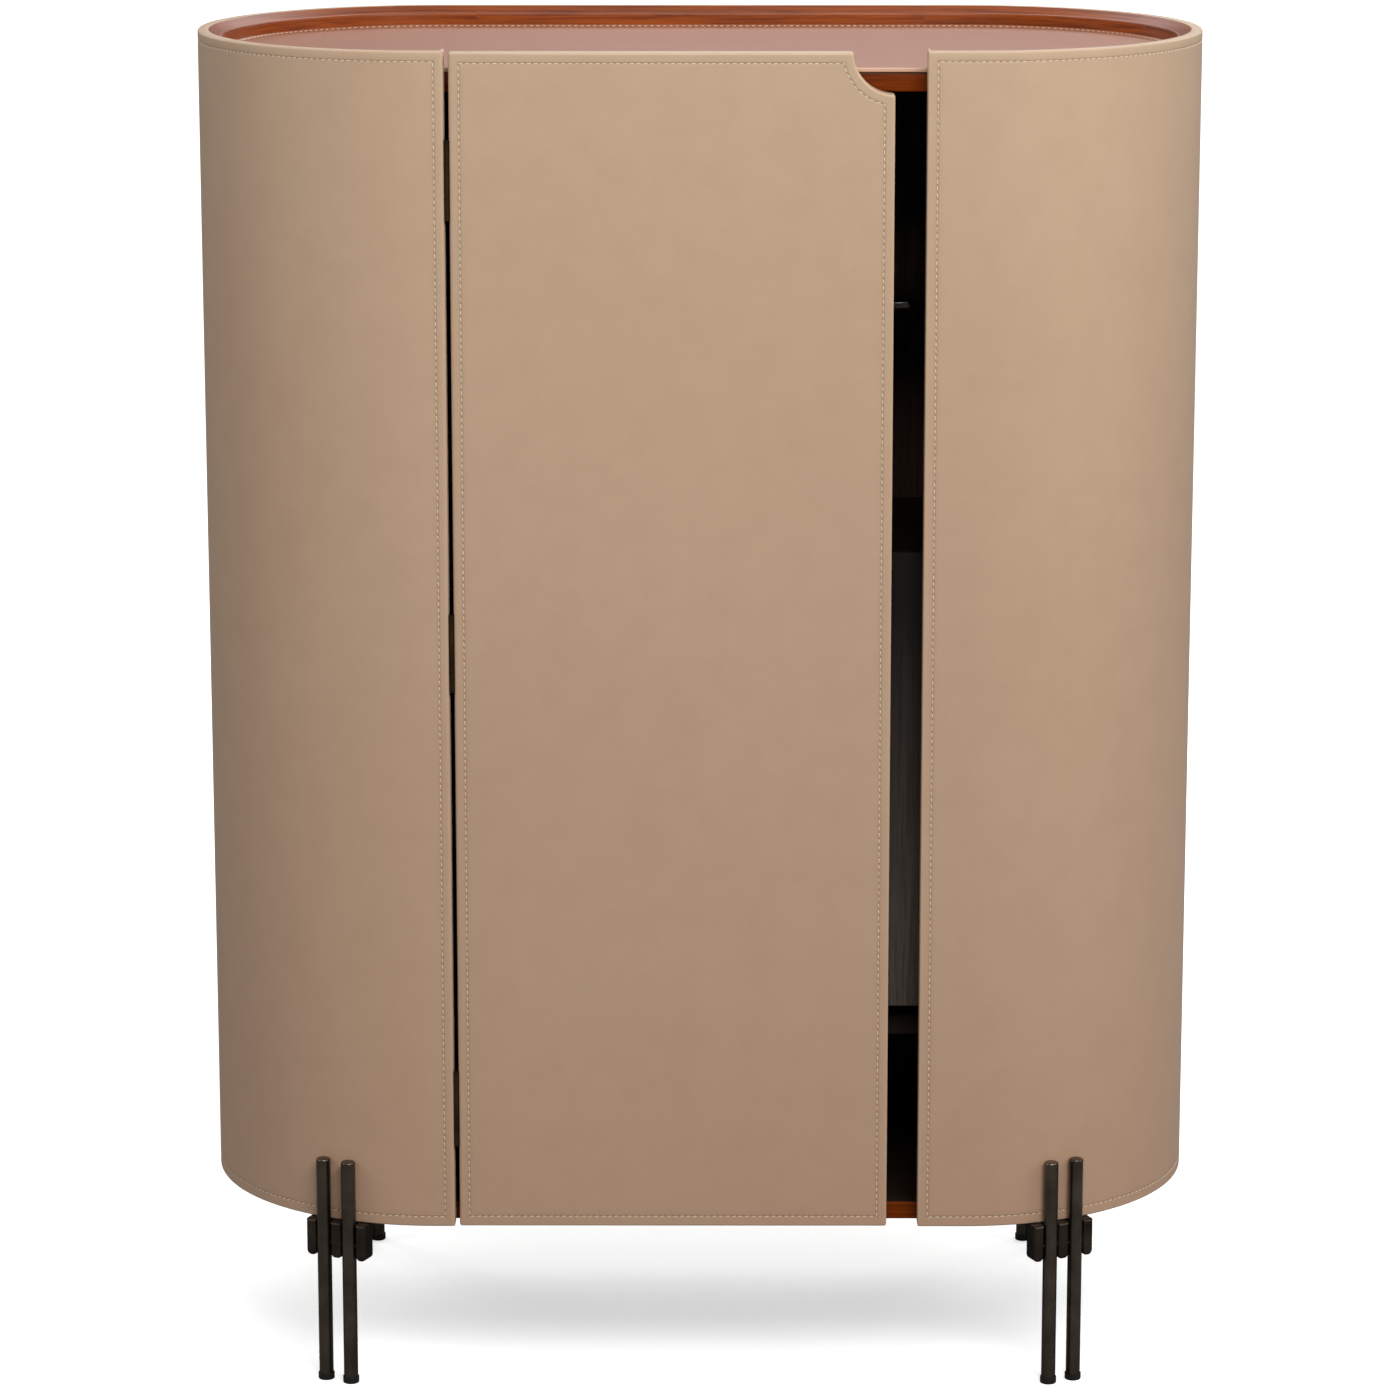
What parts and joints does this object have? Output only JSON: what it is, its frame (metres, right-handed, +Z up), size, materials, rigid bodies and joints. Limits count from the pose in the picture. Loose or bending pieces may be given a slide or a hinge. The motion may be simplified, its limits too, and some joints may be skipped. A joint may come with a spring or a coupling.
{
  "type": "bar cabinet",
  "caption": "Free-standing bar cabinet with rounded ends, clad in stitched leather, with a hinged door, inner shelves, a fold-out shelf on the door and paired rod legs",
  "frame": {"origin": "On the floor, under the middle of the body.", "axes": "+X to the right seen from the front, the door faces -Y, +Z up."},
  "size_m": [0.9, 0.423, 1.21],
  "materials": {
    "body_leather": "smooth taupe saddle leather, hand stitched",
    "top_leather": "reddish tan leather, slightly glossy",
    "lining_leather": "dark brown lining leather",
    "wood": "polished red-brown hardwood veneer and solid edges",
    "glass": "bronze-tinted float glass with polished edges",
    "dark_steel": "dark bronze lacquered round steel bar",
    "dark_casting": "dark bronze lacquered casting",
    "glide_plastic": "black nylon",
    "bumper_rubber": "black rubber",
    "catch_plastic": "brown moulded plastic round a magnet",
    "bright_steel": "zinc plated steel",
    "brass": "burnished dark brass"
  },
  "bodies": {
    "cabinet": {"back_board": "wood", "back_leather": "body_leather", "back_left_bracket": "dark_casting", "back_left_inner_rod": "dark_steel", "back_left_outer_rod": "dark_steel", "back_right_bracket": "dark_casting", "back_right_inner_rod": "dark_steel", "back_right_outer_rod": "dark_steel", "back_rim": "wood", "bottom_board": "wood", "bracket_screws": "bright_steel", "compartment_stile": "wood", "door_bumpers": "bumper_rubber", "door_hinge_pins": "brass", "front_left_bracket": "dark_casting", "front_left_inner_rod": "dark_steel", "front_left_outer_rod": "dark_steel", "front_right_bracket": "dark_casting", "front_right_inner_rod": "dark_steel", "front_right_outer_rod": "dark_steel", "glass_shelf": "glass", "glass_shelf_pins": "brass", "hinge_frame_screws": "brass", "left_rim": "wood", "left_shell_board": "wood", "left_shell_leather": "body_leather", "leg_cross_pins": "dark_casting", "leg_glides": "glide_plastic", "lower_hinge_frame_leaf": "brass", "lower_shelf": "wood", "lower_shelf_pins": "brass", "magnetic_catch": "catch_plastic", "middle_hinge_frame_leaf": "brass", "middle_shelf": "wood", "middle_shelf_pins": "brass", "right_rim": "wood", "right_shell_board": "wood", "right_shell_leather": "body_leather", "rod_screws": "bright_steel", "top_board": "wood", "top_leather": "top_leather", "upper_hinge_frame_leaf": "brass"},
    "door": {"door_core": "wood", "door_leather": "body_leather", "door_lining": "lining_leather", "strike_plate": "bright_steel", "hinge_door_screws": "brass", "lower_hinge_door_leaf": "brass", "middle_hinge_door_leaf": "brass", "upper_hinge_door_leaf": "brass", "left_flap_door_plate": "brass", "right_flap_door_plate": "brass", "flap_hinge_pins": "brass", "flap_door_screws": "brass"},
    "leaf": {"fold_out_shelf": "wood", "left_flap_leaf_plate": "brass", "right_flap_leaf_plate": "brass", "flap_leaf_screws": "brass"}
  },
  "joints": [
    {"name": "door_swing", "type": "hinge", "parent": "cabinet", "child": "door", "pos_m": [-0.2185, -0.2074, 0], "axis": [0, 0, -1], "range_deg": [0, 105]},
    {"name": "shelf_fold", "type": "hinge", "parent": "door", "child": "leaf", "pos_m": [0, -0.1873, 0.705], "axis": [1, 0, 0], "range_deg": [0, 90]}
  ]
}
